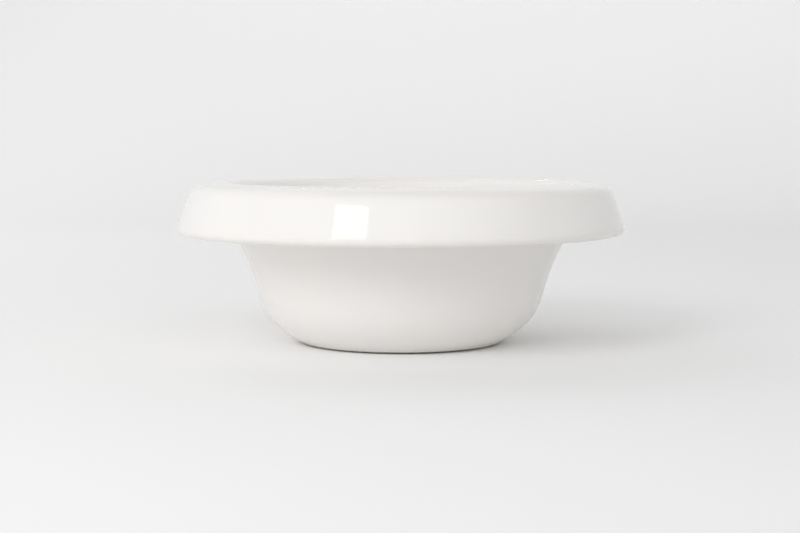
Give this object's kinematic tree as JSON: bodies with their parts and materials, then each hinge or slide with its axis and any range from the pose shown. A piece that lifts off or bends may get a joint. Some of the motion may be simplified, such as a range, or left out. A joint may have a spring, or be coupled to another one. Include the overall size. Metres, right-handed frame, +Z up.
{
  "type": "brimmed ceramic bowl",
  "caption": "Thick white glazed pottery bowl with a flat foot, rounded belly, flared wall and a wide brim that folds over the mouth and hangs down outside like a cuff.",
  "frame": {"origin": "centre of the face the bowl stands on", "axes": "+Z up along the axis of the bowl; +X and +Y are any two level directions, because every piece is turned about +Z"},
  "size_m": [0.2, 0.2, 0.0722],
  "materials": {
    "clay": "fired bare clay, fine and matte",
    "glaze": "opaque white gloss glaze, faintly warm"
  },
  "bodies": {
    "root": {"bowl": "clay", "brim": "clay", "foot_ring": "clay", "glaze_coat": "glaze", "base_glaze": "glaze"}
  },
  "joints": []
}
